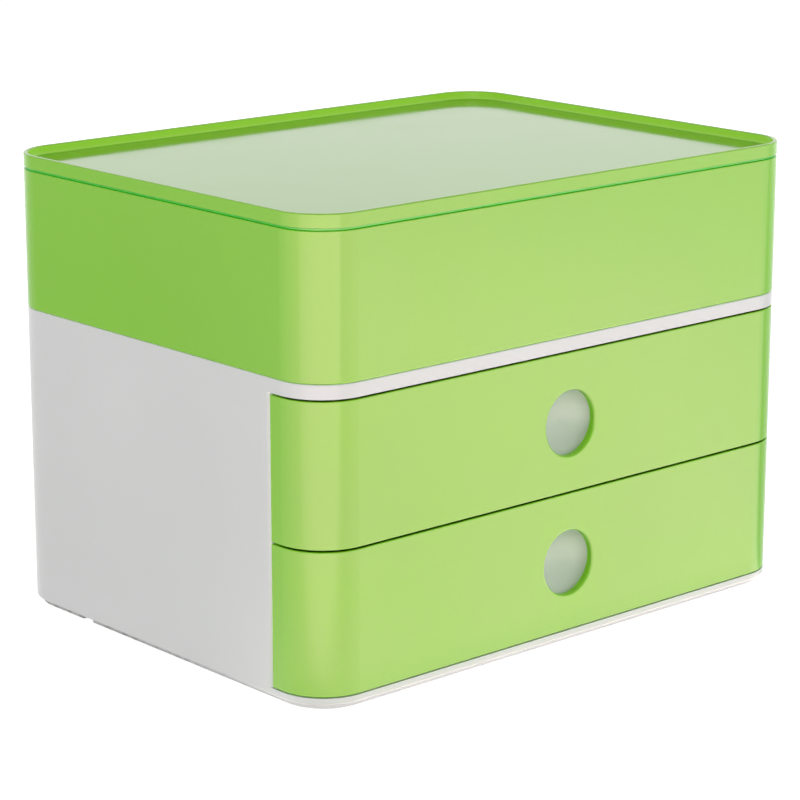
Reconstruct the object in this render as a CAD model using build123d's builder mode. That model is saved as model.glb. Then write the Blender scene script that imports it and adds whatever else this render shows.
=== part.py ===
# Desktop box: a case with two drawers, and a storage box with a lid standing on top.
# Millimetres, +Z up, +X to the right, the front towards -Y. The origin lies on the
# table under the middle of the footprint.
import math
import os

from build123d import *

# Footprint, shared by every tier
width = 260.0
depth = 195.0
corner_radius = 20.5

# Case
foot_proud = 0.4            # rubber feet stand this far below the base ring
ring_height = 2.0           # base ring below the case floor
ring_inset = 2.6
ring_width = 2.4
ring_notch_width = 6.7      # gap in the ring on each side, towards the back
ring_notch_setback = 46.5   # from the back face to the middle of the gap
case_wall = 2.5
floor_thickness = 2.9
front_wrap = 6.1            # the drawer fronts reach this far past the round corners
case_front_round = 2.0      # rounding of the side walls' front edges
case_edge_round = 1.2       # rounding of the lowest outer edge

# Rim that ends the case and the lid at the top, and the recess inside it
rim_width = 1.8
recess_depth = 3.7
deck_thickness = 1.9
recess_cove = 1.2
rim_edge_round = 0.45

# Drawers
drawer_front_height = 56.4
front_gap = 0.8             # gap above each drawer front
runner_height = 0.5         # floor rails under the lower drawer
drawer_front_wall = 2.6
drawer_wall = 2.0
drawer_floor = 2.0
side_clearance = 0.6        # between a drawer body and the case walls
shoulder_gap = 0.4          # between a drawer front's shoulder and the case wall
body_drop = 3.0             # side and back walls of the tray end below its front's top
front_edge_round = 0.35
front_lip = 0.8             # left of a front's wall at its top edge, bevelled behind
tray_cove = 2.5

# Runner ledges, guide rails and stops inside the case
ledge_width = 5.5
ledge_thickness = 2.0
ledge_setback = 2.0         # behind the front edge of the case walls
ledge_back_gap = 19.0       # between the ledges' back ends and the back wall
stop_rib_setback = 2.0      # from the ledge's front end
stop_rib_length = 3.0
stop_rib_clearance = 0.4    # above the tray's rim
stop_lug_clearance = 0.4    # below the rails
stop_lug_length = 6.0

# Openings in the back wall, one for each drawer
slot_length = 36.0
slot_height = 9.0
slot_drop = 0.2             # slot centre below the middle of the drawer front

# Grip holes and the cups behind them
grip_radius = 13.2
grip_drop = 0.3             # hole centre below the middle of the drawer front
grip_edge_round = 0.8
cup_mouth_margin = 2.2      # the cup's mouth is wider than the hole by this much all round
cup_depth = 10.5
cup_wall = 1.6
cup_flange_width = 3.6
cup_flange = 1.6
collar_clearance = 0.2
collar_width = 1.6
collar_height = 2.4

# Feet
foot_radius = 6.5
foot_inset = 23.0
foot_socket_depth = 0.8
foot_edge_round = 0.5

# Storage box
box_height = 56.6
box_wall = 2.2
box_floor = 2.2
box_edge_round = 0.8
box_top_round = 0.3
box_ring_depth = 1.6        # locating ring that drops inside the case rim
box_ring_width = 2.0
rim_clearance = 0.4
box_cove = 2.0

# Partitions in the storage box
divider_thickness = 2.0
divider_top_gap = 1.8       # between the partitions and the lid's skirt
divider_clearance = 0.3
divider_cut_margin = 0.6    # the lower corners clear the box's cove by this much
divider_top_round = 4.0
divider_rib_width = 1.5
divider_rib_depth = 2.5
divider_rib_drop = 1.5      # the ribs end below the partitions' top edge
short_divider_x = 43.0

# Lid
lid_plate = 2.7
lid_shadow_gap = 1.0        # step that leaves the dark line above the box
skirt_depth = 3.6
skirt_width = 1.6
skirt_clearance = 0.4

# Levels, from the table upwards
case_bottom = foot_proud + ring_height
sill_top = case_bottom + floor_thickness
lower_drawer_bottom = sill_top + runner_height
drawer_pitch = drawer_front_height + front_gap
upper_drawer_bottom = lower_drawer_bottom + drawer_pitch
deck_underside = upper_drawer_bottom + drawer_pitch
deck_top = deck_underside + deck_thickness + recess_depth
box_floor_top = deck_top + box_floor
box_top = deck_top + box_height
lid_top = box_top + lid_plate + recess_depth

# Planes and spans derived from the sizes above
front_y = -depth / 2
back_y = depth / 2
wall_front_y = front_y + corner_radius + front_wrap
shoulder_y = wall_front_y - shoulder_gap
case_inner_x = width / 2 - case_wall
ring_notch_y = back_y - ring_notch_setback
ledge_front_y = wall_front_y + ledge_setback
ledge_back_y = back_y - case_wall - ledge_back_gap
ledge_length = ledge_back_y - ledge_front_y
ledge_middle_y = (ledge_back_y + ledge_front_y) / 2
ledge_x = case_inner_x - ledge_width / 2
stop_rib_y = ledge_front_y + stop_rib_setback + stop_rib_length / 2
drawer_inset = case_wall + side_clearance
body_height = drawer_front_height - body_drop
stop_lug_height = drawer_pitch - ledge_thickness - body_height - stop_lug_clearance
slot_rise = drawer_front_height / 2 - slot_drop
grip_rise = drawer_front_height / 2 - grip_drop
cup_mouth_radius = grip_radius + cup_mouth_margin
cup_flange_radius = cup_mouth_radius + cup_flange_width
divider_height = box_height - box_floor - skirt_depth - divider_top_gap
divider_rib_height = divider_height - divider_rib_drop
divider_corner_cut = box_cove + divider_cut_margin
drawer_bottoms = {"lower": lower_drawer_bottom, "upper": upper_drawer_bottom}
level_tolerance = 0.01


def tier_outline(inset=0.0, mode=Mode.ADD):
    """Draws the outline that every tier shares, drawn in by the inset."""
    RectangleRounded(width - 2 * inset, depth - 2 * inset, corner_radius - inset, mode=mode)


def outline_inset(point):
    """Tells how far a point lies in from the shared outline."""
    past_x = max(abs(point.X) - width / 2 + corner_radius, 0)
    past_y = max(abs(point.Y) - depth / 2 + corner_radius, 0)
    return corner_radius - math.hypot(past_x, past_y)


def edges_at(builder, level):
    """Picks the edges that lie flat at one height."""
    return builder.edges().filter_by_position(Axis.Z, level - level_tolerance, level + level_tolerance)


def save(builder, label):
    """Labels a finished piece and writes its file."""
    builder.part.label = label
    export_step(builder.part, f"parts/{label}.step")


os.makedirs("parts", exist_ok=True)

# White case: one moulding, open at the front
with BuildPart() as case_shell:
    with BuildSketch(Plane.XY.offset(case_bottom)):
        tier_outline()
    extrude(amount=deck_top - case_bottom)
    fillet(edges_at(case_shell, case_bottom), case_edge_round)

    # recess of the deck, inside the rim
    with BuildSketch(Plane.XY.offset(deck_top - recess_depth)):
        tier_outline(rim_width)
    extrude(amount=recess_depth, mode=Mode.SUBTRACT)
    fillet(edges_at(case_shell, deck_top - recess_depth), recess_cove)
    fillet(edges_at(case_shell, deck_top), rim_edge_round)

    # bay for both drawers, and the window that wraps round the front corners
    with BuildSketch(Plane.XY.offset(sill_top)):
        tier_outline(case_wall)
        with Locations((0, wall_front_y)):
            Rectangle(2 * width, depth, align=(Align.CENTER, Align.MAX))
    extrude(amount=deck_underside - sill_top, mode=Mode.SUBTRACT)
    wall_fronts = case_shell.edges().filter_by(Axis.Z).filter_by_position(
        Axis.Y, wall_front_y - level_tolerance, wall_front_y + level_tolerance
    )
    fillet(wall_fronts.sort_by(Axis.X)[0], case_front_round)
    wall_fronts = case_shell.edges().filter_by(Axis.Z).filter_by_position(
        Axis.Y, wall_front_y - level_tolerance, wall_front_y + level_tolerance
    )
    fillet(wall_fronts.sort_by(Axis.X)[-1], case_front_round)

    # base ring with a notch on each side
    with BuildSketch(Plane.XY.offset(foot_proud)):
        tier_outline(ring_inset)
        tier_outline(ring_inset + ring_width, mode=Mode.SUBTRACT)
        with Locations((0, ring_notch_y)):
            Rectangle(width, ring_notch_width, mode=Mode.SUBTRACT)
    extrude(amount=ring_height)

    # runner rails on the floor for the lower drawer
    with BuildSketch(Plane.XY.offset(sill_top)):
        with Locations((-ledge_x, ledge_middle_y), (ledge_x, ledge_middle_y)):
            Rectangle(ledge_width, ledge_length)
    extrude(amount=runner_height)

    # above each drawer a pair of guide rails; the lower pair carries the upper drawer
    for drawer_bottom in drawer_bottoms.values():
        with BuildSketch(Plane.XY.offset(drawer_bottom + drawer_pitch - ledge_thickness)):
            with Locations((-ledge_x, ledge_middle_y), (ledge_x, ledge_middle_y)):
                Rectangle(ledge_width, ledge_length)
        extrude(amount=ledge_thickness)
        # stop ribs hang from the rails' front ends
        rib_bottom = drawer_bottom + body_height + stop_rib_clearance
        with BuildSketch(Plane.XY.offset(rib_bottom)):
            with Locations((-ledge_x, stop_rib_y), (ledge_x, stop_rib_y)):
                Rectangle(ledge_width, stop_rib_length)
        extrude(amount=drawer_bottom + drawer_pitch - ledge_thickness - rib_bottom)

    # rounded slots through the back wall, to let the air out as a drawer closes
    for drawer_bottom in drawer_bottoms.values():
        with BuildSketch(Plane.XZ.offset(-back_y)):
            with Locations((0, drawer_bottom + slot_rise)):
                SlotOverall(slot_length, slot_height)
        extrude(amount=2 * case_wall, both=True, mode=Mode.SUBTRACT)

    # sockets for the rubber feet
    with BuildSketch(Plane.XY.offset(case_bottom)):
        with GridLocations(width - 2 * foot_inset, depth - 2 * foot_inset, 2, 2):
            Circle(foot_radius)
    extrude(amount=foot_socket_depth, mode=Mode.SUBTRACT)
save(case_shell, "case_shell")

# Rubber feet, pressed into their sockets
foot_places = {
    "foot_front_left": (-1, -1),
    "foot_front_right": (1, -1),
    "foot_back_left": (-1, 1),
    "foot_back_right": (1, 1),
}
for foot_name, (side, end) in foot_places.items():
    with BuildPart() as foot:
        with BuildSketch(Plane.XY):
            with Locations((side * (width / 2 - foot_inset), end * (depth / 2 - foot_inset))):
                Circle(foot_radius)
        extrude(amount=case_bottom + foot_socket_depth)
        fillet(edges_at(foot, 0), foot_edge_round)
    save(foot, foot_name)

# Green drawers: two equal trays, one pitch apart
front_inner_y = front_y + drawer_front_wall
bowl_radius = (cup_mouth_radius**2 + cup_depth**2) / (2 * cup_depth)
for tier, drawer_bottom in drawer_bottoms.items():
    with BuildPart() as drawer_tray:
        # front that wraps round both corners
        with BuildSketch(Plane.XY.offset(drawer_bottom)):
            tier_outline()
            with Locations((0, shoulder_y)):
                Rectangle(width, depth, align=(Align.CENTER, Align.MIN), mode=Mode.SUBTRACT)
        extrude(amount=drawer_front_height)
        front_outline = [
            edge
            for edge in drawer_tray.edges().filter_by(Plane.XY)
            if edge.center().Y < shoulder_y - level_tolerance
        ]
        fillet(front_outline, front_edge_round)

        # lower body behind the shoulders
        with BuildSketch(Plane.XY.offset(drawer_bottom)):
            tier_outline(drawer_inset)
            with Locations((0, shoulder_y - drawer_front_wall)):
                Rectangle(width, depth, align=(Align.CENTER, Align.MAX), mode=Mode.SUBTRACT)
        extrude(amount=body_height)

        # hollow of the tray: behind the front, then between the side walls
        with BuildSketch(Plane.XY.offset(drawer_bottom + drawer_floor)):
            tier_outline(drawer_front_wall)
            with Locations((0, shoulder_y - drawer_front_wall)):
                Rectangle(width, depth, align=(Align.CENTER, Align.MIN), mode=Mode.SUBTRACT)
        extrude(amount=drawer_front_height, mode=Mode.SUBTRACT)
        with BuildSketch(Plane.XY.offset(drawer_bottom + drawer_floor)):
            tier_outline(drawer_inset + drawer_wall)
        extrude(amount=drawer_front_height, mode=Mode.SUBTRACT)
        fillet(edges_at(drawer_tray, drawer_bottom + drawer_floor), tray_cove)

        # bevel behind the front's top edge, which leaves a thin lip
        lip_edges = [
            edge
            for edge in edges_at(drawer_tray, drawer_bottom + drawer_front_height)
            if abs(outline_inset(edge @ 0.5) - drawer_front_wall) < level_tolerance
        ]
        chamfer(lip_edges, drawer_front_wall - front_lip)

        # stop lugs on the side walls, near the back
        lug_x = width / 2 - drawer_inset - drawer_wall / 2
        lug_y = ledge_back_y - stop_lug_length / 2
        with BuildSketch(Plane.XY.offset(drawer_bottom + body_height)):
            with Locations((-lug_x, lug_y), (lug_x, lug_y)):
                Rectangle(drawer_wall, stop_lug_length)
        extrude(amount=stop_lug_height)

        # collar that takes the grip cup, and the grip hole
        grip_plane = Plane(
            origin=(0, front_inner_y, drawer_bottom + grip_rise), x_dir=(1, 0, 0), z_dir=(0, 1, 0)
        )
        with BuildSketch(grip_plane):
            Circle(cup_flange_radius + collar_clearance + collar_width)
            Circle(cup_flange_radius + collar_clearance, mode=Mode.SUBTRACT)
        extrude(amount=collar_height)
        with BuildSketch(grip_plane):
            Circle(grip_radius)
        extrude(amount=-2 * drawer_front_wall, mode=Mode.SUBTRACT)
        grip_edge = drawer_tray.edges().filter_by(GeomType.CIRCLE).sort_by(Axis.Y)[0]
        fillet(grip_edge, grip_edge_round)
    save(drawer_tray, f"{tier}_drawer_tray")

    # pale cup, snapped into the collar behind the grip hole
    with BuildPart() as grip_cup:
        cup_plane = Plane(
            origin=(0, front_inner_y, drawer_bottom + grip_rise), x_dir=(1, 0, 0), z_dir=(0, 0, 1)
        )
        with BuildSketch(cup_plane):
            with Locations((0, cup_depth - bowl_radius)):
                Circle(bowl_radius + cup_wall)
            Rectangle(2 * cup_flange_radius, cup_flange, align=(Align.CENTER, Align.MIN))
            with Locations((0, cup_depth - bowl_radius)):
                Circle(bowl_radius, mode=Mode.SUBTRACT)
            # keeps the quarter beside the axis, behind the drawer front
            Rectangle(
                cup_flange_radius,
                cup_depth + cup_wall,
                align=(Align.MIN, Align.MIN),
                mode=Mode.INTERSECT,
            )
        revolve(axis=Axis(cup_plane.origin, (0, 1, 0)))
    save(grip_cup, f"{tier}_grip_cup")

# Green storage box that stands on the case rim
box_inner_x = width / 2 - box_wall
box_inner_y = depth / 2 - box_wall
rib_offset = (divider_thickness + divider_rib_width) / 2 + divider_clearance
with BuildPart() as storage_box:
    with BuildSketch(Plane.XY.offset(deck_top)):
        tier_outline()
    extrude(amount=box_height)
    fillet(edges_at(storage_box, deck_top), box_edge_round)
    with BuildSketch(Plane.XY.offset(box_floor_top)):
        tier_outline(box_wall)
    extrude(amount=box_height, mode=Mode.SUBTRACT)
    fillet(edges_at(storage_box, box_floor_top), box_cove)
    fillet(edges_at(storage_box, box_top), box_top_round)

    # locating ring under the floor
    with BuildSketch(Plane.XY.offset(deck_top - box_ring_depth)):
        tier_outline(rim_width + rim_clearance)
        tier_outline(rim_width + rim_clearance + box_ring_width, mode=Mode.SUBTRACT)
    extrude(amount=box_ring_depth)

    # pairs of upright ribs that hold the partitions
    with BuildSketch(Plane.XY.offset(box_floor_top)):
        for side in (-1, 1):
            with Locations(
                (side * (box_inner_x - divider_rib_depth / 2), -rib_offset),
                (side * (box_inner_x - divider_rib_depth / 2), rib_offset),
            ):
                Rectangle(divider_rib_depth, divider_rib_width)
            with Locations(
                (side * short_divider_x - rib_offset, divider_rib_depth / 2 - box_inner_y),
                (side * short_divider_x + rib_offset, divider_rib_depth / 2 - box_inner_y),
            ):
                Rectangle(divider_rib_width, divider_rib_depth)
    extrude(amount=divider_rib_height)
save(storage_box, "storage_box")

# Long partition across the storage box, with ribs for the short ones
long_divider_end = box_inner_x - divider_clearance
divider_face_y = -divider_thickness / 2
with BuildPart() as long_divider:
    with BuildSketch(Plane.XZ):
        with Locations((0, box_floor_top)):
            Rectangle(2 * long_divider_end, divider_height, align=(Align.CENTER, Align.MIN))
    extrude(amount=divider_thickness / 2, both=True)
    uprights = long_divider.edges().filter_by(Axis.Y)
    chamfer(uprights.group_by(Axis.Z)[0], divider_corner_cut)
    uprights = long_divider.edges().filter_by(Axis.Y)
    fillet(uprights.group_by(Axis.Z)[-1], divider_top_round)
    with BuildSketch(Plane.XY.offset(box_floor_top)):
        for side in (-1, 1):
            with Locations(
                (side * short_divider_x - rib_offset, divider_face_y - divider_rib_depth / 2),
                (side * short_divider_x + rib_offset, divider_face_y - divider_rib_depth / 2),
            ):
                Rectangle(divider_rib_width, divider_rib_depth)
    extrude(amount=divider_rib_height)
save(long_divider, "long_divider")

# Short partitions between the long one and the front wall
short_front_y = divider_clearance - box_inner_y
short_back_y = divider_face_y - divider_clearance
for divider_name, side in {"short_divider_left": -1, "short_divider_right": 1}.items():
    with BuildPart() as short_divider:
        with BuildSketch(Plane.YZ.offset(side * short_divider_x)):
            with Locations(((short_front_y + short_back_y) / 2, box_floor_top)):
                Rectangle(
                    short_back_y - short_front_y, divider_height, align=(Align.CENTER, Align.MIN)
                )
        extrude(amount=divider_thickness / 2, both=True)
        crossing = short_divider.edges().filter_by(Axis.X)
        chamfer(crossing.group_by(Axis.Z)[0].sort_by(Axis.Y)[0], divider_corner_cut)
        crossing = short_divider.edges().filter_by(Axis.X)
        fillet(crossing.group_by(Axis.Z)[-1], divider_top_round)
    save(short_divider, divider_name)

# Green lid with the same raised rim as the case
with BuildPart() as box_lid:
    with BuildSketch(Plane.XY.offset(box_top + lid_shadow_gap)):
        tier_outline()
    extrude(amount=lid_top - box_top - lid_shadow_gap)
    with BuildSketch(Plane.XY.offset(box_top)):
        tier_outline(lid_shadow_gap)
    extrude(amount=lid_shadow_gap)
    with BuildSketch(Plane.XY.offset(box_top + lid_plate)):
        tier_outline(rim_width)
    extrude(amount=recess_depth, mode=Mode.SUBTRACT)
    fillet(edges_at(box_lid, box_top + lid_plate), recess_cove)
    fillet(edges_at(box_lid, lid_top), rim_edge_round)

    # skirt that drops inside the storage box
    skirt_inset = box_wall + skirt_clearance
    with BuildSketch(Plane.XY.offset(box_top - skirt_depth)):
        tier_outline(skirt_inset)
        tier_outline(skirt_inset + skirt_width, mode=Mode.SUBTRACT)
    extrude(amount=skirt_depth)
save(box_lid, "box_lid")
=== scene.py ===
# Desk box with two drawers under a lidded storage box: the finish of every piece, then the
# studio it stands in. Metres, +Z up, the front towards -Y, with the feet on the floor at z = 0.
import math

import bpy
from mathutils import Matrix, Vector


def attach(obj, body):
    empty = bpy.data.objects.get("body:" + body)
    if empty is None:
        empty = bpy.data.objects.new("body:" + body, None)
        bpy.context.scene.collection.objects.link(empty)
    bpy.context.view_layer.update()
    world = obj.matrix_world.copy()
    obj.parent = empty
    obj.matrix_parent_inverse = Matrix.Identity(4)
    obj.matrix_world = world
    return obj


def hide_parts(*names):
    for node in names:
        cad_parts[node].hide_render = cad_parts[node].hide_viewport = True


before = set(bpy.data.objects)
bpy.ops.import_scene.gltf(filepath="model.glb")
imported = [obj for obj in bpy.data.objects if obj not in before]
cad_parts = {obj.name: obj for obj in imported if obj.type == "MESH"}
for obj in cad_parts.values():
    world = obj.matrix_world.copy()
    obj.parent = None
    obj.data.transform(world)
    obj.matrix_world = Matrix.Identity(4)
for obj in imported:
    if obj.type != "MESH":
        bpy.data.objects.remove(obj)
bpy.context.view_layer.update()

scene = bpy.context.scene
for leftover in ("Cube", "Light", "Camera"):
    if leftover in bpy.data.objects:
        bpy.data.objects.remove(bpy.data.objects[leftover])


# Case: one white injection moulding, open at the front, that carries everything else. It comes
# out of a polished mould glossy, with a faint orange peel, and the ring under it gets scuffed.
# The ring also gets painted shade all round, for the overhang above it, with less of it at the
# front.
outline_length, outline_depth, outline_corner = 0.260, 0.195, 0.0205
far_below, far_above = -1.0, 1.0


def start_finish(name, ior):
    """Makes a material and hands back its nodes and its surface shader too."""
    material = bpy.data.materials.new(name)
    material.use_nodes = True
    shader = material.node_tree.nodes["Principled BSDF"]
    shader.inputs["IOR"].default_value = ior
    return material, material.node_tree, shader


def place_on_piece(tree):
    """The point on the piece, in metres from the middle of the footprint on the floor."""
    return tree.nodes.new("ShaderNodeTexCoord").outputs["Object"]


def split(tree, vector):
    """The three numbers of a vector."""
    parts = tree.nodes.new("ShaderNodeSeparateXYZ")
    tree.links.new(vector, parts.inputs["Vector"])
    return parts.outputs["X"], parts.outputs["Y"], parts.outputs["Z"]


def cloudy(tree, lump, detail=2.0, drawn_out=(1.0, 1.0, 1.0)):
    """Soft noise with lumps of that many metres, drawn out along the axes by those factors."""
    fit = tree.nodes.new("ShaderNodeMapping")
    fit.inputs["Scale"].default_value = [1.0 / (lump * factor) for factor in drawn_out]
    noise = tree.nodes.new("ShaderNodeTexNoise")
    noise.inputs["Scale"].default_value = 1.0
    noise.inputs["Detail"].default_value = detail
    tree.links.new(place_on_piece(tree), fit.inputs["Vector"])
    tree.links.new(fit.outputs["Vector"], noise.inputs["Vector"])
    return noise.outputs["Fac"]


def ease(tree, value, start, end, low=0.0, high=1.0):
    """Takes a value from start to end over to one from low to high, easing in and out."""
    ramp = tree.nodes.new("ShaderNodeMapRange")
    ramp.interpolation_type = "SMOOTHSTEP"
    ramp.inputs["From Min"].default_value = start
    ramp.inputs["From Max"].default_value = end
    ramp.inputs["To Min"].default_value = low
    ramp.inputs["To Max"].default_value = high
    tree.links.new(value, ramp.inputs["Value"])
    return ramp.outputs["Result"]


def patchy(tree, lump, detail, start, end, low=0.0, high=1.0):
    """Goes from low to high in patches of that many metres, as soft noise goes start to end."""
    return ease(tree, cloudy(tree, lump, detail), start, end, low, high)


def work_out(tree, operation, *values):
    """One sum on numbers and sockets."""
    step = tree.nodes.new("ShaderNodeMath")
    step.operation = operation
    for socket, value in zip(step.inputs, values):
        if isinstance(value, bpy.types.NodeSocket):
            tree.links.new(value, socket)
        else:
            socket.default_value = value
    return step.outputs["Value"]


def tinted(tree, share, colour, other):
    """Goes from one colour to another by the share. Each is a colour or a socket."""
    mix = tree.nodes.new("ShaderNodeMix")
    mix.data_type = "RGBA"
    tree.links.new(share, mix.inputs["Factor"])
    for socket, value in ((mix.inputs["A"], colour), (mix.inputs["B"], other)):
        if isinstance(value, bpy.types.NodeSocket):
            tree.links.new(value, socket)
        else:
            socket.default_value = (*value, 1.0)
    return mix.outputs["Result"]


def clouded(tree, lump, colour, other, detail=2.0):
    """Lets a colour drift to another in soft clouds of that many metres."""
    return tinted(tree, patchy(tree, lump, detail, start=0.35, end=0.65), colour, other)


def relief(tree, shader, *layers):
    """Raises the skin by several patterns, each given with its depth in metres."""
    under = None
    for pattern, depth in layers:
        bump = tree.nodes.new("ShaderNodeBump")
        bump.inputs["Strength"].default_value = 1.0
        bump.inputs["Distance"].default_value = depth
        tree.links.new(pattern, bump.inputs["Height"])
        if under:
            tree.links.new(under, bump.inputs["Normal"])
        under = bump.outputs["Normal"]
    tree.links.new(under, shader.inputs["Normal"])


def level_face(tree):
    """One on faces that lie flat, such as floors and undersides, and nought on walls."""
    nearly_level, level = 0.95, 0.99
    normal = tree.nodes.new("ShaderNodeNewGeometry").outputs["Normal"]
    upright = work_out(tree, "ABSOLUTE", split(tree, normal)[2])
    return ease(tree, upright, nearly_level, level)


def pin_marks(tree, pitch, radius):
    """Shallow rings that the mould's ejector pins leave, one in each square of the pitch."""
    half_pitch, ring_line, ring_reach = pitch / 2, 0.0001, 0.0004
    around = tree.nodes.new("ShaderNodeVectorMath")
    around.operation = "WRAP"
    around.inputs[1].default_value = (half_pitch, half_pitch, far_above)
    around.inputs[2].default_value = (-half_pitch, -half_pitch, far_below)
    tree.links.new(place_on_piece(tree), around.inputs[0])
    across, along, _ = split(tree, around.outputs["Vector"])
    square = work_out(tree, "MULTIPLY", along, along)
    square = work_out(tree, "MULTIPLY_ADD", across, across, square)
    past_ring = work_out(tree, "SUBTRACT", work_out(tree, "SQRT", square), radius)
    from_ring = work_out(tree, "ABSOLUTE", past_ring)
    ring = ease(tree, from_ring, ring_line, ring_reach, low=1.0, high=0.0)
    return work_out(tree, "MULTIPLY", ring, level_face(tree))


def zone_inside(tree, wall, foot, top):
    """One further in than the wall from the outline that all tiers share, from foot to top."""
    hair = 0.0001
    across, along, height = split(tree, place_on_piece(tree))
    square = 0.0
    for distance, side in ((across, outline_length), (along, outline_depth)):
        straight = side / 2 - outline_corner
        past = work_out(tree, "SUBTRACT", work_out(tree, "ABSOLUTE", distance), straight)
        past = work_out(tree, "MAXIMUM", past, 0.0)
        square = work_out(tree, "ADD", square, work_out(tree, "MULTIPLY", past, past))
    inset = work_out(tree, "SUBTRACT", outline_corner, work_out(tree, "SQRT", square))
    inside = ease(tree, inset, wall - 2 * hair, wall - hair)
    above_foot = ease(tree, height, foot - hair, foot + hair)
    below_top = ease(tree, height, top - hair, top + hair, low=1.0, high=0.0)
    return work_out(tree, "MULTIPLY", inside, work_out(tree, "MULTIPLY", above_foot, below_top))


def white_case_plastic():
    """Glossy white, faintly clouded, satin inside, with scuffs and painted shade round the ring at
    its foot.
    """
    shell, deeper, scuffed_and_shaded = (0.85, 0.855, 0.85), (0.83, 0.835, 0.83), (0.40, 0.39, 0.38)
    ring_foot, scuff_and_shade_top, ring_front, ring_middle = 0.0018, 0.0024, -0.094, 0.03
    wall, deck_underside = 0.0025, 0.1205
    cloud_size, scuff_size, smudge_size = 0.09, 0.004, 0.035
    polished, handled, scuff_dulling, satin_dulling = 0.19, 0.25, 0.4, 0.2
    peel_size, peel_depth = 0.005, 0.000016
    draw_line_width, draw_line_stretch, draw_line_depth = 0.0022, 60.0, 0.000003
    grain_size, grain_depth = 0.0004, 0.00002
    pin_pitch, pin_radius, pin_depth = 0.052, 0.0035, 0.00004
    material, tree, shader = start_finish("white_case_plastic", 1.46)
    _, along, height = split(tree, place_on_piece(tree))
    near_ring_foot = ease(tree, height, ring_foot, scuff_and_shade_top, low=1.0, high=0.0)
    # Painted shade: the ring is greyed at least six tenths of the way all round, as the shade under
    # the overhang. Patches of scuffs grey it further, and both fade out at the front.
    scuffs_and_shade = patchy(tree, scuff_size, detail=4.0, start=0.4, end=0.62, low=0.6)
    shade_and_scuffs_less_in_front = ease(tree, along, ring_front, ring_middle, low=0.05)
    scuffs_and_shade = work_out(tree, "MULTIPLY", scuffs_and_shade, shade_and_scuffs_less_in_front)
    scuffs_and_shade = work_out(tree, "MULTIPLY", near_ring_foot, scuffs_and_shade)
    colour = clouded(tree, cloud_size, shell, deeper)
    tree.links.new(tinted(tree, scuffs_and_shade, colour, scuffed_and_shaded), shader.inputs["Base Color"])
    satin = zone_inside(tree, wall, far_below, deck_underside)
    gloss = patchy(tree, smudge_size, detail=3.0, start=0.4, end=0.7, low=polished, high=handled)
    for share, dulling in ((scuffs_and_shade, scuff_dulling), (satin, satin_dulling)):
        gloss = work_out(tree, "ADD", gloss, work_out(tree, "MULTIPLY", share, dulling))
    tree.links.new(gloss, shader.inputs["Roughness"])
    peel = cloudy(tree, peel_size, detail=1.0)
    upwards = (1.0, 1.0, draw_line_stretch)
    draw_lines = cloudy(tree, draw_line_width, detail=1.0, drawn_out=upwards)
    grain = work_out(tree, "MULTIPLY", cloudy(tree, grain_size, detail=3.0), satin)
    pins = pin_marks(tree, pin_pitch, pin_radius)
    relief(
        tree,
        shader,
        (peel, peel_depth),
        (draw_lines, draw_line_depth),
        (grain, grain_depth),
        (pins, pin_depth),
    )
    return material


case_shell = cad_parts["case_shell"]
case_shell.data.materials[0] = white_case_plastic()


# Feet: four black rubber discs, pressed into sockets in the case floor. Two grooves round the
# sole of each and a dimple in its middle give it grip. The rubber is dull, and picks up dust.
def rounded_section(corners, arc_steps, support=0.00008):
    """Points along a section whose corners are (inset, height, radius), with arcs at them.

    A point at the support's distance beyond each end of an arc keeps the flats shaded flat.
    """
    points = []
    for step, (inset, height, radius) in enumerate(corners):
        here = Vector((inset, height))
        if radius == 0:
            points.append(here)
            continue
        to_last = (Vector(corners[step - 1][:2]) - here).normalized()
        to_next = (Vector(corners[step + 1][:2]) - here).normalized()
        half = to_last.angle(to_next) / 2
        reach = radius / math.tan(half)
        middle = here + (to_last + to_next).normalized() * radius / math.sin(half)
        start, end = here + to_last * reach, here + to_next * reach
        turn = (start - middle).angle_signed(end - middle)
        points.append(start + to_last * support)
        for arc_step in range(arc_steps + 1):
            spoke = Matrix.Rotation(-turn * arc_step / arc_steps, 2) @ (start - middle)
            points.append(middle + spoke)
        points.append(end + to_next * support)
    return points


def new_form_tree(name, *sizes):
    """A geometry tree that starts from a section and has an input for each size and the finish."""
    tree = bpy.data.node_groups.new(name, "GeometryNodeTree")
    tree.interface.new_socket("Section", in_out="INPUT", socket_type="NodeSocketGeometry")
    for size, kind in sizes:
        tree.interface.new_socket(size, in_out="INPUT", socket_type=f"NodeSocket{kind}")
    tree.interface.new_socket("Finish", in_out="INPUT", socket_type="NodeSocketMaterial")
    tree.interface.new_socket("Form", in_out="OUTPUT", socket_type="NodeSocketGeometry")
    return tree, tree.nodes.new("NodeGroupInput").outputs


def put(tree, kind, mode=None, **inputs):
    """Adds a node and gives its inputs, each a value or what another node hands on."""
    node = tree.nodes.new(kind)
    if mode:
        node.mode = mode
    for name, value in inputs.items():
        socket = node.inputs[name.replace("_", " ")]
        if isinstance(value, bpy.types.NodeSocket):
            tree.links.new(value, socket)
        else:
            socket.default_value = value
    return node.outputs[0]


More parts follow.
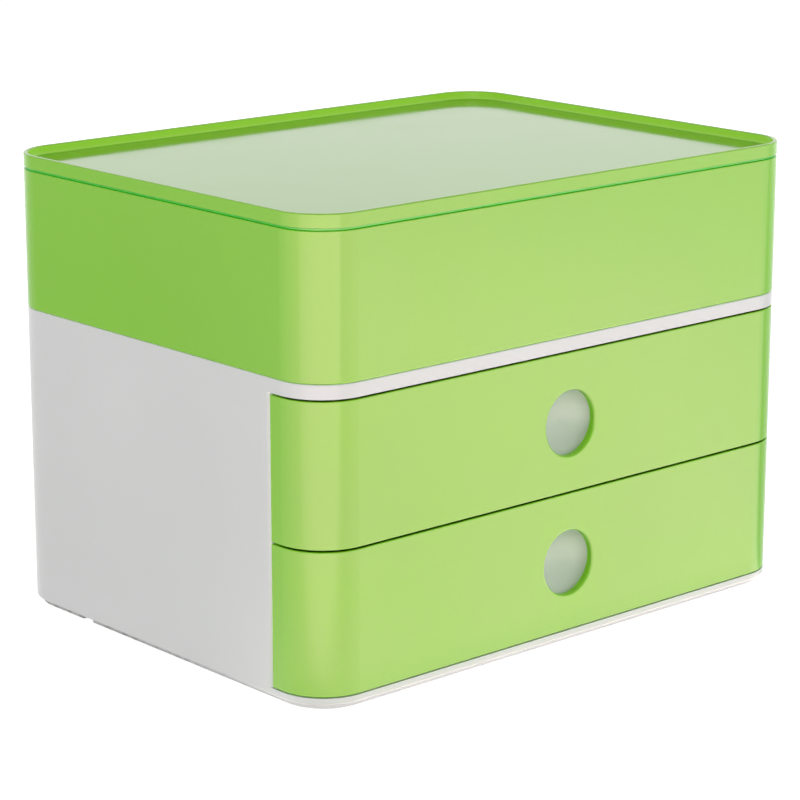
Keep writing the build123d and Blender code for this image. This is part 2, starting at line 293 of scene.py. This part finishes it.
def finish_form(tree, form, finish):
    """Welds the form, keeps its sharp edges sharp, and gives it its finish."""
    weld_reach, sharpest_smooth_bend = 0.000002, math.radians(30)
    welded = put(tree, "GeometryNodeMergeByDistance", Geometry=form, Distance=weld_reach)
    smooth = put(tree, "GeometryNodeSetShadeSmooth", Geometry=welded, Shade_Smooth=True)
    bend = put(tree, "GeometryNodeInputMeshEdgeAngle")
    sharp = tree.nodes.new("FunctionNodeCompare")
    sharp.operation = "GREATER_THAN"
    tree.links.new(bend, sharp.inputs["A"])
    sharp.inputs["B"].default_value = sharpest_smooth_bend
    edged = tree.nodes.new("GeometryNodeSetShadeSmooth")
    edged.domain = "EDGE"
    edged.inputs["Shade Smooth"].default_value = False
    tree.links.new(smooth, edged.inputs["Geometry"])
    tree.links.new(sharp.outputs["Result"], edged.inputs["Selection"])
    real = put(tree, "GeometryNodeRealizeInstances", Geometry=edged.outputs["Geometry"])
    finished = put(tree, "GeometryNodeSetMaterial", Geometry=real, Material=finish)
    end = tree.nodes.new("NodeGroupOutput")
    tree.links.new(finished, end.inputs["Form"])


def make_form(name, section, tree, **sizes):
    """Runs a form tree on a section and hands back the piece as a plain mesh."""
    drawn = bpy.data.meshes.new(name)
    lines = [(step, step + 1) for step in range(len(section) - 1)]
    drawn.from_pydata([(-inset, -height, 0.0) for inset, height in section], lines, [])
    piece = bpy.data.objects.new(name, drawn)
    scene.collection.objects.link(piece)
    shaping = piece.modifiers.new(name, "NODES")
    shaping.node_group = tree
    for socket in tree.interface.items_tree:
        if socket.name.replace(" ", "_") in sizes:
            shaping[socket.identifier] = sizes[socket.name.replace(" ", "_")]
    shaped = piece.evaluated_get(bpy.context.evaluated_depsgraph_get())
    form = bpy.data.meshes.new_from_object(shaped)
    piece.modifiers.clear()
    piece.data = form
    form.name = name
    return piece


def foot_tree():
    """Turns the section of one foot round its axis and sets a foot in each corner."""
    kinds = (("Foot Radius", "Float"), ("Length Apart", "Float"), ("Depth Apart", "Float"))
    tree, given = new_form_tree("turned_feet", *kinds, ("Turning Steps", "Int"))
    steps, radius = given["Turning Steps"], given["Foot Radius"]
    edge = put(tree, "GeometryNodeCurvePrimitiveCircle", Resolution=steps, Radius=radius)
    section = put(tree, "GeometryNodeMeshToCurve", Mesh=given["Section"])
    turned = put(tree, "GeometryNodeCurveToMesh", Curve=edge, Profile_Curve=section)
    corners = put(
        tree,
        "GeometryNodeMeshGrid",
        Size_X=given["Length Apart"],
        Size_Y=given["Depth Apart"],
        Vertices_X=2,
        Vertices_Y=2,
    )
    feet = put(tree, "GeometryNodeInstanceOnPoints", Points=corners, Instance=turned)
    real = put(tree, "GeometryNodeRealizeInstances", Geometry=feet)
    finish_form(tree, real, given["Finish"])
    return tree


def black_rubber():
    """Dull black with a fine grain, greyed by dust in patches."""
    clean, dusty = (0.012, 0.012, 0.012), (0.06, 0.058, 0.055)
    dust_size, patch_size, dull, dullest = 0.003, 0.0015, 0.55, 0.8
    grain_size, grain_depth, fine_size, fine_depth = 0.0006, 0.00002, 0.00015, 0.00001
    material, tree, shader = start_finish("black_rubber", 1.5)
    dust = patchy(tree, dust_size, detail=5.0, start=0.45, end=0.7)
    tree.links.new(tinted(tree, dust, clean, dusty), shader.inputs["Base Color"])
    dullness = patchy(tree, patch_size, detail=3.0, start=0.3, end=0.7, low=dull, high=dullest)
    tree.links.new(dullness, shader.inputs["Roughness"])
    grain, fine = cloudy(tree, grain_size, detail=3.0), cloudy(tree, fine_size)
    relief(tree, shader, (grain, grain_depth), (fine, fine_depth))
    return material


foot_radius, foot_height, sole_edge_radius = 0.0065, 0.0032, 0.0005
groove_width, groove_depth, groove_radius = 0.0005, 0.0005, 0.00015
dimple_mouth, dimple_floor, dimple_depth, dimple_edge_radius = 0.0008, 0.0004, 0.0003, 0.0002
foot_section = [
    (foot_radius, foot_height, 0),
    (0, foot_height, 0),
    (0, 0, sole_edge_radius),
]
for groove_inset in (0.0017, 0.0036):
    foot_section += [
        (groove_inset, 0, groove_radius),
        (groove_inset + groove_width / 2, groove_depth, groove_radius),
        (groove_inset + groove_width, 0, groove_radius),
    ]
foot_section += [
    (foot_radius - dimple_mouth, 0, dimple_edge_radius),
    (foot_radius - dimple_floor, dimple_depth, 0),
    (foot_radius, dimple_depth, 0),
]
feet = make_form(
    "rubber_feet",
    rounded_section(foot_section, arc_steps=4, support=0.00002),
    foot_tree(),
    Foot_Radius=foot_radius,
    Length_Apart=0.214,
    Depth_Apart=0.149,
    Turning_Steps=48,
    Finish=black_rubber(),
)
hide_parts("foot_front_left", "foot_front_right", "foot_back_left", "foot_back_right")
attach(feet, "case")


# Drawers: two equal trays in lime green, each moulded in one with a front that wraps round both
# corners. The front is glossy, and the tray behind it is satin, where the mould is blasted.
def lime_plastic(name, satin_wall, satin_below, held_at=(), rubbed_and_highlit_edges=(), painted_bands=()):
    """Glossy lime green, faintly clouded, satin inside the wall up to a height.

    It has smears round grips at the heights held_at, paler lines along edges at the edge heights
    given, part wear and part painted highlight, and bands of painted shade and painted light,
    each (wall, foot, top, colour).
    """
    fresh, deeper, rubbed_and_highlit = (0.265, 0.72, 0.009), (0.255, 0.70, 0.008), (0.42, 0.78, 0.12)
    mirror_level, mirror_tint = 0.62, (1.0, 0.81, 0.77, 1.0)
    cloud_size, wear_and_highlight_size, smudge_size, finger_size = 0.11, 0.005, 0.03, 0.006
    wear_and_highlight_line, wear_and_highlight_reach, held_near, held_reach = 0.0001, 0.0005, 0.014, 0.027
    polished, handled, satin_dulling, finger_dulling = 0.095, 0.135, 0.24, 0.05
    peel_size, peel_depth, fine_size, fine_depth = 0.0055, 0.000012, 0.0006, 0.0000008
    grain_size, grain_depth = 0.0004, 0.00002
    pin_pitch, pin_radius, pin_depth = 0.047, 0.003, 0.00004
    material, tree, shader = start_finish(name, 1.46)
    shader.inputs["Specular IOR Level"].default_value = mirror_level
    shader.inputs["Specular Tint"].default_value = mirror_tint
    across, _, height = split(tree, place_on_piece(tree))
    colour = clouded(tree, cloud_size, fresh, deeper)
    # Paler lines along the edges: part wear, part painted highlight.
    for edge_height in rubbed_and_highlit_edges:
        from_edge = work_out(tree, "ABSOLUTE", work_out(tree, "SUBTRACT", height, edge_height))
        wear_and_highlight = patchy(tree, wear_and_highlight_size, detail=4.0, start=0.3, end=0.65, low=0.1, high=0.6)
        near_edge = ease(tree, from_edge, wear_and_highlight_line, wear_and_highlight_reach, low=1.0, high=0.0)
        colour = tinted(tree, work_out(tree, "MULTIPLY", near_edge, wear_and_highlight), colour, rubbed_and_highlit)
    # Bands of painted shade and painted light in another colour.
    for wall, foot, top, painted_band_colour in painted_bands:
        colour = tinted(tree, zone_inside(tree, wall, foot, top), colour, painted_band_colour)
    tree.links.new(colour, shader.inputs["Base Color"])
    satin = zone_inside(tree, satin_wall, far_below, satin_below)
    gloss = patchy(tree, smudge_size, detail=3.0, start=0.4, end=0.72, low=polished, high=handled)
    gloss = work_out(tree, "ADD", gloss, work_out(tree, "MULTIPLY", satin, satin_dulling))
    for grip_height in held_at:
        rise = work_out(tree, "SUBTRACT", height, grip_height)
        square = work_out(tree, "MULTIPLY", rise, rise)
        square = work_out(tree, "MULTIPLY_ADD", across, across, square)
        from_grip = work_out(tree, "SQRT", square)
        held = ease(tree, from_grip, held_near, held_reach, low=1.0, high=0.0)
        fingers = patchy(tree, finger_size, detail=4.0, start=0.4, end=0.65, high=finger_dulling)
        gloss = work_out(tree, "ADD", gloss, work_out(tree, "MULTIPLY", held, fingers))
    tree.links.new(gloss, shader.inputs["Roughness"])
    peel = cloudy(tree, peel_size, detail=1.0)
    fine = cloudy(tree, fine_size)
    grain = work_out(tree, "MULTIPLY", cloudy(tree, grain_size, detail=3.0), satin)
    pins = work_out(tree, "MULTIPLY", pin_marks(tree, pin_pitch, pin_radius), satin)
    relief(
        tree,
        shader,
        (peel, peel_depth),
        (fine, fine_depth),
        (grain, grain_depth),
        (pins, pin_depth),
    )
    return material


drawer_front_wall, lower_grip, upper_grip = 0.0026, 0.0337, 0.0909
drawer_plastic = lime_plastic(
    "lime_drawer_plastic",
    satin_wall=drawer_front_wall,
    satin_below=far_above,
    held_at=(lower_grip, upper_grip),
)
for tray in ("lower_drawer_tray", "upper_drawer_tray"):
    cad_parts[tray].data.materials[0] = drawer_plastic


# Grip cups: a shallow bowl snapped in behind each grip hole, moulded in pale grey-green plastic.
# The bowl has a fine blasted grain, so that it shows no fingerprints.
def pale_cup_plastic():
    """Pale and satin, and a little darker in patches towards the bottom of the bowl."""
    bowl, bottom = (0.74, 0.80, 0.72), (0.69, 0.75, 0.67)
    bowl_mouth, bowl_bottom, mottle_size = -0.0955, -0.0850, 0.004
    patch_size, satin, dull = 0.002, 0.38, 0.48
    grain_size, grain_depth, fine_size, fine_depth = 0.0005, 0.000012, 0.00018, 0.000004
    material, tree, shader = start_finish("pale_cup_plastic", 1.5)
    along = split(tree, place_on_piece(tree))[1]
    deep = ease(tree, along, bowl_mouth, bowl_bottom)
    mottles = patchy(tree, mottle_size, detail=3.0, start=0.3, end=0.7, low=0.7)
    deep = work_out(tree, "MULTIPLY", deep, mottles)
    tree.links.new(tinted(tree, deep, bowl, bottom), shader.inputs["Base Color"])
    dullness = patchy(tree, patch_size, detail=3.0, start=0.35, end=0.7, low=satin, high=dull)
    tree.links.new(dullness, shader.inputs["Roughness"])
    grain, fine = cloudy(tree, grain_size, detail=3.0), cloudy(tree, fine_size)
    relief(tree, shader, (grain, grain_depth), (fine, fine_depth))
    return material


cup_plastic = pale_cup_plastic()
for cup in ("lower_grip_cup", "upper_grip_cup"):
    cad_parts[cup].data.materials[0] = cup_plastic


# Storage box: one deep lime green moulding that stands on the case, held in place by a ring
# under its floor. Glossy outside, satin inside and underneath, and paler along its foot, part wear
# and part painted highlight. Painted shade darkens the top of its wall in the seam under the lid.
box_wall, box_foot, box_top, glossy_edge = 0.0022, 0.1258, 0.1824, 0.0003
seam_inset, seam_height, seam_overlap = 0.0004, 0.0010, 0.0001
# Painted shade: a deeper green for the seam between box and lid, where shade falls.
painted_seam_shade = (0.015, 0.62, 0.0)
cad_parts["storage_box"].data.materials[0] = lime_plastic(
    "lime_box_plastic",
    satin_wall=box_wall,
    satin_below=box_top - glossy_edge,
    # The paler line along the foot is part wear, part painted highlight.
    rubbed_and_highlit_edges=(box_foot,),
    # A band of painted shade on the top of the wall, in the seam under the lid.
    painted_bands=((seam_inset, box_top - seam_overlap, box_top + seam_height, painted_seam_shade),),
)


# Partitions: thin loose walls that slide down between ribs in the storage box. They are moulded
# in white with a satin grain, and are a little uneven where the plastic has shrunk.
def satin_white_plastic():
    """Satin white, faintly clouded, with a fine grain on slow waves."""
    fresh, deeper = (0.78, 0.79, 0.785), (0.74, 0.75, 0.745)
    cloud_size, patch_size, satin, dull = 0.03, 0.008, 0.3, 0.4
    grain_size, grain_depth, wave_size, wave_depth = 0.0006, 0.00002, 0.006, 0.00003
    material, tree, shader = start_finish("satin_white_plastic", 1.5)
    colour = clouded(tree, cloud_size, fresh, deeper, detail=3.0)
    tree.links.new(colour, shader.inputs["Base Color"])
    dullness = patchy(tree, patch_size, detail=3.0, start=0.35, end=0.7, low=satin, high=dull)
    tree.links.new(dullness, shader.inputs["Roughness"])
    grain, waves = cloudy(tree, grain_size, detail=3.0), cloudy(tree, wave_size)
    relief(tree, shader, (grain, grain_depth), (waves, wave_depth))
    return material


partition_plastic = satin_white_plastic()
for partition in ("long_divider", "short_divider_left", "short_divider_right"):
    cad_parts[partition].data.materials[0] = partition_plastic


# Lid: a lime green plate with a raised rim, so that it doubles as a tray, and a skirt below that
# drops inside the storage box. A small step under its edge leaves a dark line above the box,
# darkened further by painted shade in the step. The rim's inner wall is painted paler as light on
# it, and its top edge has a pale line, part wear and part painted highlight.
def lid_tree():
    """Sweeps the section of the lid's edge round the outline, and fills both faces of the plate."""
    sizes = ("Length", "Depth", "Corner Radius", "Plate Top", "Plate Underside")
    kinds = [(size, "Float") for size in sizes]
    tree, given = new_form_tree("swept_lid", *kinds, ("Corner Steps", "Int"))
    length, depth = given["Length"], given["Depth"]
    rectangle = put(tree, "GeometryNodeCurvePrimitiveQuadrilateral", Width=length, Height=depth)
    outline = put(
        tree,
        "GeometryNodeFilletCurve",
        mode="POLY",
        Curve=rectangle,
        Count=given["Corner Steps"],
        Radius=given["Corner Radius"],
    )
    section = put(tree, "GeometryNodeMeshToCurve", Mesh=given["Section"])
    edge = put(tree, "GeometryNodeCurveToMesh", Curve=outline, Profile_Curve=section)
    faces_beside = put(tree, "GeometryNodeInputMeshEdgeNeighbors")
    faces_at_closed_edge = 2.0
    height = split(tree, put(tree, "GeometryNodeInputPosition"))[2]
    levels = work_out(tree, "ADD", given["Plate Top"], given["Plate Underside"])
    middle = work_out(tree, "MULTIPLY", levels, 0.5)
    joined = tree.nodes.new("GeometryNodeJoinGeometry")
    tree.links.new(edge, joined.inputs["Geometry"])
    for level, side in (("Plate Top", "GREATER_THAN"), ("Plate Underside", "LESS_THAN")):
        on_side = work_out(tree, side, height, middle)
        open_edge = work_out(tree, "LESS_THAN", faces_beside, faces_at_closed_edge)
        on_rim = work_out(tree, "MULTIPLY", open_edge, on_side)
        rim = put(tree, "GeometryNodeMeshToCurve", Mesh=edge, Selection=on_rim)
        plate = put(tree, "GeometryNodeFillCurve", mode="NGONS", Curve=rim)
        if level == "Plate Underside":
            plate = put(tree, "GeometryNodeFlipFaces", Mesh=plate)
        lift = put(tree, "ShaderNodeCombineXYZ", Z=given[level])
        raised = put(tree, "GeometryNodeSetPosition", Geometry=plate, Offset=lift)
        tree.links.new(raised, joined.inputs["Geometry"])
    finish_form(tree, joined.outputs["Geometry"], given["Finish"])
    return tree


plate_top, plate_inset, rim_top, rim_width = 0.1851, 0.0180, 0.1888, 0.0018
rim_radius, cove_radius, lower_edge_radius = 0.00045, 0.0012, 0.00025
step_inset, step_radius = 0.0010, 0.0001
skirt_foot, skirt_outside, skirt_inside = 0.1788, 0.0026, 0.0042
skirt_foot_radius, outer_root_radius, inner_root_radius = 0.0004, 0.0003, 0.0006
lid_section = [
    (plate_inset, plate_top, 0),
    (rim_width, plate_top, cove_radius),
    (rim_width, rim_top, rim_radius),
    (0, rim_top, rim_radius),
    (0, box_top + seam_height, lower_edge_radius),
    (step_inset, box_top + seam_height, step_radius),
    (step_inset, box_top, step_radius),
    (skirt_outside, box_top, outer_root_radius),
    (skirt_outside, skirt_foot, skirt_foot_radius),
    (skirt_inside, skirt_foot, skirt_foot_radius),
    (skirt_inside, box_top, inner_root_radius),
    (plate_inset, box_top, 0),
]
skirt_satin_gap, rim_band_margin, rim_band_foot = 0.0002, 0.0004, 0.0003
# Painted light: the rim's inner wall is made paler, as if lit through the thin rim.
painted_rim_glow = (0.46, 0.90, 0.06)
lid_plastic = lime_plastic(
    "lime_lid_plastic",
    satin_wall=step_inset,
    satin_below=box_top - skirt_satin_gap,
    # The pale line along the rim's top edge is part wear, part painted highlight.
    rubbed_and_highlit_edges=(rim_top,),
    # Bands of painted shade in the step under the rim and painted light on the rim's inner wall.
    painted_bands=(
        (seam_inset, box_top, box_top + seam_height, painted_seam_shade),
        (
            rim_width - rim_band_margin,
            plate_top + rim_band_foot,
            rim_top - rim_band_margin,
            painted_rim_glow,
        ),
    ),
)
lid = make_form(
    "swept_box_lid",
    rounded_section(lid_section, arc_steps=6),
    lid_tree(),
    Length=outline_length,
    Depth=outline_depth,
    Corner_Radius=outline_corner,
    Plate_Top=plate_top,
    Plate_Underside=box_top,
    Corner_Steps=24,
    Finish=lid_plastic,
)
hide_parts("box_lid")
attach(lid, "lid")


# Studio: a white room with a key softbox behind the camera, a weak one behind the box, and four
# fills round it that don't show in the gloss. The floor in front of the box glows as a light
# table does, but only where the gloss mirrors it.
def add_camera():
    """Stands to the front left and a little above, with a long lens."""
    turn, rise, roll = math.radians(-41.83), math.radians(13.70), math.radians(0.05)
    stand_off, middle_height, aim = 1.18795, 0.0985, Vector((-0.00261, 0.0, 0.08179))
    level_back = math.cos(rise)
    back = Vector((math.sin(turn) * level_back, -math.cos(turn) * level_back, math.sin(rise)))
    place = Vector((0.0, 0.0, middle_height)) + back * stand_off
    forward = (aim - place).normalized()
    level_right = forward.cross(Vector((0, 0, 1))).normalized()
    level_up = level_right.cross(forward)
    right = level_right * math.cos(roll) + level_up * math.sin(roll)
    up = level_up * math.cos(roll) - level_right * math.sin(roll)
    lens = bpy.data.cameras.new("studio_camera")
    lens.sensor_width = 36.0
    lens.lens = 128.71
    lens.clip_start = 0.05
    camera = bpy.data.objects.new("studio_camera", lens)
    facing = Matrix((right, up, -forward)).transposed().to_4x4()
    camera.matrix_world = Matrix.Translation(place) @ facing
    scene.collection.objects.link(camera)
    scene.camera = camera


def add_softbox(name, place, target, wide, high, watts):
    """A broad lamp that faces the target and can't be seen by the camera."""
    lamp = bpy.data.lights.new(name, "AREA")
    lamp.shape = "RECTANGLE"
    lamp.size = wide
    lamp.size_y = high
    lamp.energy = watts
    softbox = bpy.data.objects.new(name, lamp)
    softbox.location = place
    facing = (Vector(target) - Vector(place)).to_track_quat("-Z", "Y")
    softbox.rotation_euler = facing.to_euler()
    softbox.visible_camera = False
    scene.collection.objects.link(softbox)
    return softbox


def seen_rays(tree):
    """One for the rays that see the room itself: camera, glossy and transmission rays."""
    path = tree.nodes.new("ShaderNodeLightPath").outputs
    mirrored = work_out(tree, "MAXIMUM", path["Is Camera Ray"], path["Is Glossy Ray"])
    return work_out(tree, "MAXIMUM", mirrored, path["Is Transmission Ray"])


add_camera()
box_middle, above_box = (0.0, 0.0, 0.09), (0.0, 0.0, 0.2)
add_softbox("key_softbox", (-1.33, -1.39, 0.55), box_middle, wide=1.4, high=1.0, watts=5.8)
add_softbox("back_softbox", (1.15, 1.28, 0.5), above_box, wide=2.0, high=1.0, watts=1.6)
for name, place, wide, high, watts in (
    ("left_fill", (-1.69, 0.62, 0.62), 2.0, 1.1, 12.0),
    ("front_fill", (0.62, -1.69, 0.62), 2.0, 1.1, 12.4),
    ("right_fill", (1.70, -0.10, 0.35), 1.0, 0.6, 8.0),
    ("rear_fill", (0.20, 1.70, 0.35), 1.0, 0.6, 8.0),
):
    add_softbox(name, place, box_middle, wide, high, watts).visible_glossy = False

room = bpy.data.worlds.new("white_room")
room.use_nodes = True
scene.world = room
room_tree = room.node_tree
room_tree.nodes.clear()
room_light = put(room_tree, "ShaderNodeBackground", Strength=0.23)
white_walls = put(room_tree, "ShaderNodeBackground", Color=(1, 1, 1, 1), Strength=1.0)
pick = room_tree.nodes.new("ShaderNodeMixShader")
room_tree.links.new(seen_rays(room_tree), pick.inputs["Fac"])
room_tree.links.new(room_light, pick.inputs[1])
room_tree.links.new(white_walls, pick.inputs[2])
room_end = room_tree.nodes.new("ShaderNodeOutputWorld")
room_tree.links.new(pick.outputs["Shader"], room_end.inputs["Surface"])

floor_reach = 8.0
square_corners = ((-1, -1), (1, -1), (1, 1), (-1, 1))
floor_corners = [(x * floor_reach, y * floor_reach, 0) for x, y in square_corners]
floor_mesh = bpy.data.meshes.new("studio_floor")
floor_mesh.from_pydata(floor_corners, [], [(0, 1, 2, 3)])
floor = bpy.data.objects.new("studio_floor", floor_mesh)
scene.collection.objects.link(floor)


def lit_table(tree):
    """How far the floor is lit from below: fully in front of the box, and not behind its front.

    The border gets softer as it runs off to the left. The light is stronger to the left of the
    box, and weaker close to it, far to the right of it, and beside its right corner.
    """
    left_corner, right_corner, border = -0.11, 0.109, -0.0875
    border_softness, softer_by_distance, least_distance = 0.02, 1.2, 0.001
    across, along, _ = split(tree, place_on_piece(tree))
    past_left = work_out(tree, "SUBTRACT", left_corner, across)
    past_left = work_out(tree, "MAXIMUM", past_left, 0.0)
    softness = work_out(tree, "MULTIPLY_ADD", past_left, softer_by_distance, border_softness)
    in_front = work_out(tree, "SUBTRACT", border, along)
    lit = ease(tree, work_out(tree, "DIVIDE", in_front, softness), start=-1.4, end=0.7)
    stronger_left = ease(tree, past_left, start=0.0, end=0.08, low=1.0, high=1.45)
    weaker_right = ease(tree, across, start=0.25, end=0.95, low=1.0, high=0.65)
    past_right = work_out(tree, "SUBTRACT", across, right_corner)
    past_right = work_out(tree, "MAXIMUM", past_right, 0.0)
    distance = work_out(tree, "MAXIMUM", in_front, least_distance)
    aside = work_out(tree, "DIVIDE", past_right, distance)
    weaker_beside = ease(tree, aside, start=0.7, end=3.0, low=1.0, high=0.0)
    weaker_close = ease(tree, in_front, start=0.0, end=0.05, low=0.8, high=1.0)
    for share in (stronger_left, weaker_right, weaker_beside, weaker_close):
        lit = work_out(tree, "MULTIPLY", lit, share)
    return lit


plain_white, warm_white = (1, 1, 1), (1.25, 1, 1)
white_when_seen, more_for_camera, table_light = 0.6, 0.25, 3.6
floor_paint, floor_tree, shader = start_finish("white_floor_paint", 1.4)
shader.inputs["Base Color"].default_value = (0.8, 0.8, 0.8, 1)
shader.inputs["Roughness"].default_value = 0.9
shader.inputs["Specular IOR Level"].default_value = 0.0
path = floor_tree.nodes.new("ShaderNodeLightPath").outputs
glow = work_out(floor_tree, "MULTIPLY", lit_table(floor_tree), path["Is Glossy Ray"])
glow_colour = tinted(floor_tree, glow, plain_white, warm_white)
floor_tree.links.new(glow_colour, shader.inputs["Emission Color"])
white = work_out(floor_tree, "MULTIPLY", seen_rays(floor_tree), white_when_seen)
white = work_out(floor_tree, "MULTIPLY_ADD", path["Is Camera Ray"], more_for_camera, white)
white = work_out(floor_tree, "MULTIPLY_ADD", glow, table_light, white)
floor_tree.links.new(white, shader.inputs["Emission Strength"])
floor_mesh.materials.append(floor_paint)

scene.view_settings.view_transform = "Standard"
